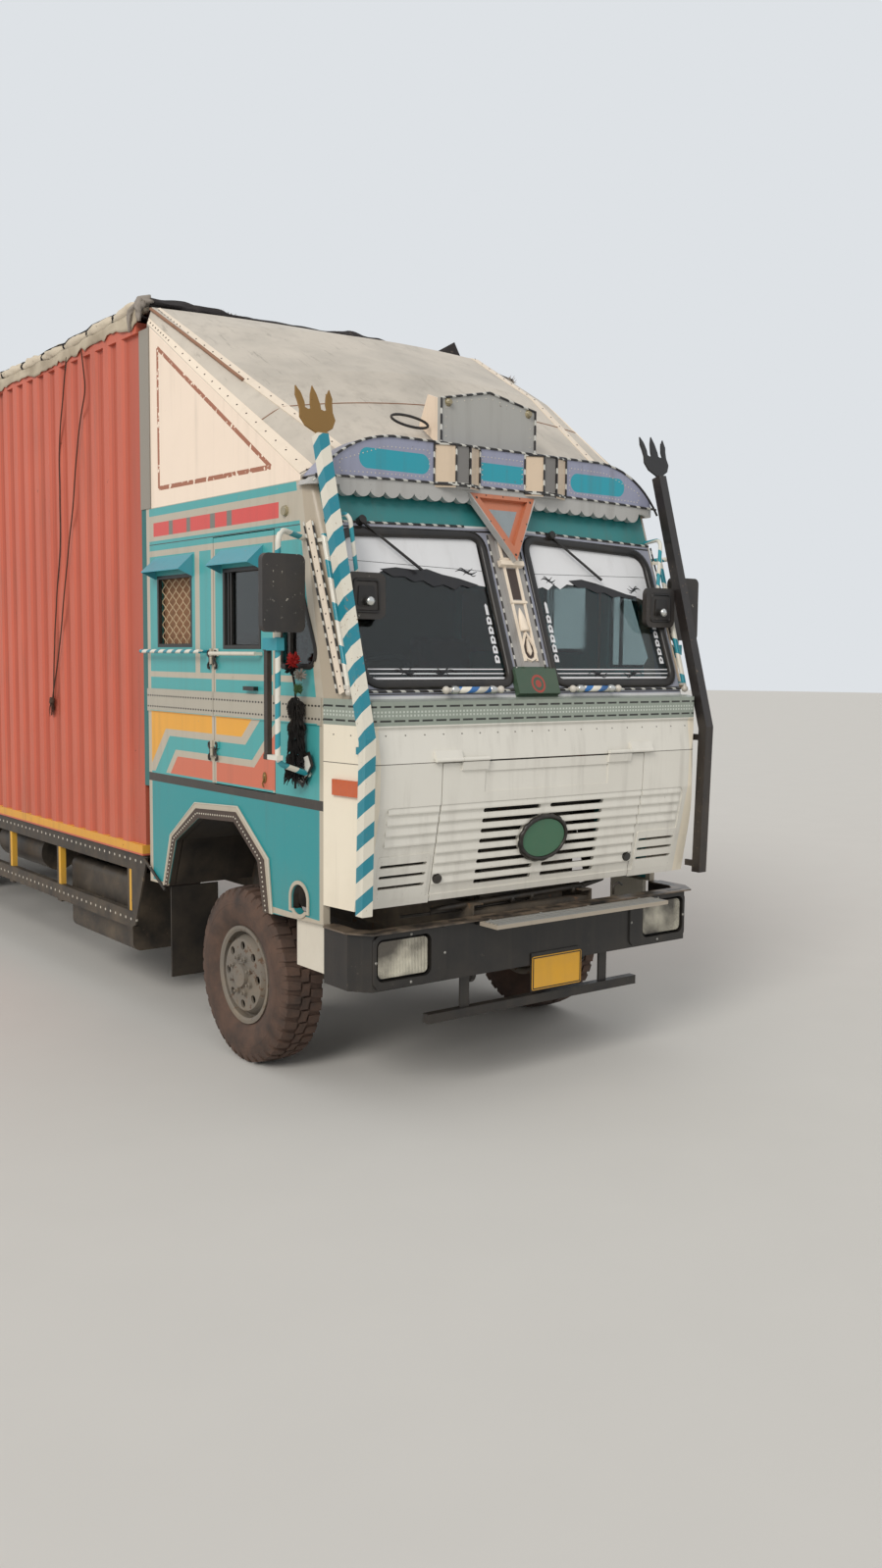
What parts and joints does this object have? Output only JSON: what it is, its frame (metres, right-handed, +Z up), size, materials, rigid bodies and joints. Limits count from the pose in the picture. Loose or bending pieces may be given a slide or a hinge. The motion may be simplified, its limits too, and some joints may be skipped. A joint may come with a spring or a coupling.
{
  "type": "decorated goods truck",
  "caption": "Rigid goods truck with a high box body, a painted flat-nosed cab, a scalloped visor, a roof fairing and checked corner poles.",
  "frame": {"origin": "centre of the whole truck's footprint, on the ground", "axes": "+X to the truck's left, +Y to the rear, +Z up"},
  "size_m": [3.08, 12.271, 4.4413],
  "materials": {
    "chassis_paint": "satin",
    "engine_iron": "rough",
    "tyre_rubber": "matt",
    "rim_paint": "worn satin",
    "cab_paint": "worn gloss",
    "panel_paint": "worn gloss",
    "cream_paint": "worn satin",
    "visor_paint": "gloss",
    "container_paint": "worn satin",
    "bumper_paint": "worn satin",
    "window_glass": "clear",
    "lamp_glass": "fluted",
    "seat_cover": "woven",
    "dash_plastic": "grained",
    "trim_paint": "gloss",
    "black_steel": "satin",
    "tarpaulin_cloth": "coated cloth",
    "rope_fibre": "twisted fibre",
    "tassel_cloth": "knotted cloth"
  },
  "bodies": {
    "truck": {"chassis_frame": "chassis_paint", "engine": "engine_iron", "radiator": "chassis_paint", "leaf_springs": "chassis_paint", "front_axle": "chassis_paint", "rear_axle": "chassis_paint", "propshaft": "chassis_paint", "spare_wheel": "tyre_rubber", "side_tanks": "chassis_paint", "side_guards": "black_steel", "wheel_guards": "black_steel", "rear_bumper": "black_steel", "front_bumper": "bumper_paint", "lamps": "lamp_glass", "cab_floor": "chassis_paint", "cab_sides": "cab_paint", "cab_rear_wall": "cab_paint", "cab_roof": "cream_paint", "cab_front": "panel_paint", "windscreen_frame": "cab_paint", "cab_glass": "window_glass", "visor": "visor_paint", "attic_board": "visor_paint", "roof_fairing": "cream_paint", "seats": "seat_cover", "seat_boxes": "chassis_paint", "dashboard": "dash_plastic", "corner_poles": "trim_paint", "mirrors": "black_steel", "wipers": "black_steel", "grab_rails": "trim_paint", "container_floor": "chassis_paint", "container_sides": "container_paint", "container_front": "container_paint", "container_roof": "container_paint", "container_rear_frame": "container_paint", "tarpaulin": "tarpaulin_cloth", "rope_long": "rope_fibre", "rope_short": "rope_fibre", "tassel": "tassel_cloth"},
    "knuckle_right": {"knuckle_right": "chassis_paint"},
    "knuckle_left": {"knuckle_left": "chassis_paint"},
    "tie_rod": {"tie_rod": "chassis_paint"},
    "steering_wheel": {"steering_wheel": "dash_plastic"},
    "front_wheel_right": {"front_tyre_right": "tyre_rubber", "front_rim_right": "rim_paint"},
    "front_wheel_left": {"front_tyre_left": "tyre_rubber", "front_rim_left": "rim_paint"},
    "rear_wheels_right": {"rear_tyres_right": "tyre_rubber", "rear_rims_right": "rim_paint"},
    "rear_wheels_left": {"rear_tyres_left": "tyre_rubber", "rear_rims_left": "rim_paint"},
    "door_right": {"door_right": "cab_paint", "door_glass_right": "window_glass"},
    "door_left": {"door_left": "cab_paint", "door_glass_left": "window_glass"},
    "hatch": {"hatch": "panel_paint"},
    "cargo_door_right": {"cargo_door_right": "container_paint"},
    "cargo_door_left": {"cargo_door_left": "container_paint"}
  },
  "joints": [
    {"name": "steer_right", "type": "hinge", "parent": "truck", "child": "knuckle_right", "pos_m": [-0.86, -4.691, 0.505], "axis": [0, 0, 1], "range_deg": [-33, 33]},
    {"name": "steer_left", "type": "hinge", "parent": "truck", "child": "knuckle_left", "pos_m": [0.86, -4.691, 0.505], "axis": [0, 0, 1], "range_deg": [-33, 33]},
    {"name": "tie_rod_swing", "type": "hinge", "parent": "knuckle_right", "child": "tie_rod", "pos_m": [-0.86, -4.501, 0.43], "axis": [0, 0, 1], "range_deg": [-33, 33]},
    {"name": "front_wheel_right_spin", "type": "hinge", "parent": "knuckle_right", "child": "front_wheel_right", "pos_m": [-1.031, -4.691, 0.505], "axis": [1, 0, 0], "continuous": true},
    {"name": "front_wheel_left_spin", "type": "hinge", "parent": "knuckle_left", "child": "front_wheel_left", "pos_m": [1.031, -4.691, 0.505], "axis": [1, 0, 0], "continuous": true},
    {"name": "rear_wheels_right_spin", "type": "hinge", "parent": "truck", "child": "rear_wheels_right", "pos_m": [-0.885, 2.039, 0.505], "axis": [1, 0, 0], "continuous": true},
    {"name": "rear_wheels_left_spin", "type": "hinge", "parent": "truck", "child": "rear_wheels_left", "pos_m": [0.885, 2.039, 0.505], "axis": [1, 0, 0], "continuous": true},
    {"name": "steering_wheel_turn", "type": "hinge", "parent": "truck", "child": "steering_wheel", "pos_m": [-0.65, -5.206, 2.19], "axis": [0, 0.5299, 0.848], "range_deg": [-528, 528]},
    {"name": "door_right_swing", "type": "hinge", "parent": "truck", "child": "door_right", "pos_m": [-1.215, -4.469, 2.28], "axis": [0, 0, -1], "range_deg": [0, 80]},
    {"name": "door_left_swing", "type": "hinge", "parent": "truck", "child": "door_left", "pos_m": [1.215, -4.469, 2.28], "axis": [0, 0, 1], "range_deg": [0, 80]},
    {"name": "hatch_lift", "type": "hinge", "parent": "truck", "child": "hatch", "pos_m": [0, -6.006, 1.8], "axis": [-1, 0, 0], "range_deg": [0, 75]},
    {"name": "cargo_door_right_swing", "type": "hinge", "parent": "truck", "child": "cargo_door_right", "pos_m": [-1.222, 6.12, 2.69], "axis": [0, 0, 1], "range_deg": [0, 250]},
    {"name": "cargo_door_left_swing", "type": "hinge", "parent": "truck", "child": "cargo_door_left", "pos_m": [1.222, 6.12, 2.69], "axis": [0, 0, -1], "range_deg": [0, 250]}
  ],
  "couplings": [
    {"joint": "steer_left", "follows": "steer_right", "ratio": 1},
    {"joint": "tie_rod_swing", "follows": "steer_right", "ratio": -1},
    {"joint": "steering_wheel_turn", "follows": "steer_right", "ratio": 16}
  ]
}
